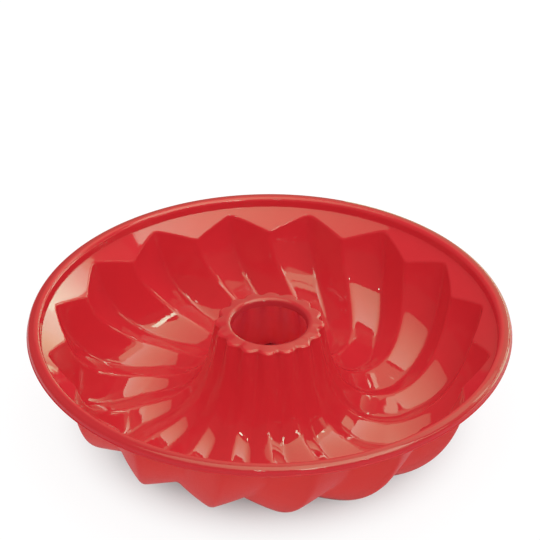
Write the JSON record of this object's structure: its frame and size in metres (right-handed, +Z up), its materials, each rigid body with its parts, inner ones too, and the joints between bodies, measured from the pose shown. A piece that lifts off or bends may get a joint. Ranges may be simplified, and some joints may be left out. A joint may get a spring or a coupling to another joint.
{
  "type": "savarin mould",
  "caption": "Round silicone ring-cake mould with swirled flutes, a rounded rim bead and a hollow central chimney; holds batter in the oven and forms a fluted ring cake.",
  "frame": {"origin": "on the resting plane, under the centre of the rim", "axes": "+Z up out of the opening, along the axis of the chimney; the zigzag edge has an inner corner on +Y"},
  "size_m": [0.26, 0.26, 0.0598],
  "materials": {
    "silicone": "gloss"
  },
  "bodies": {
    "root": {"rim_bead": "silicone", "lead_in_band": "silicone", "fluted_wall": "silicone", "trough_floor": "silicone", "chimney": "silicone", "chimney_collar": "silicone"}
  },
  "joints": []
}
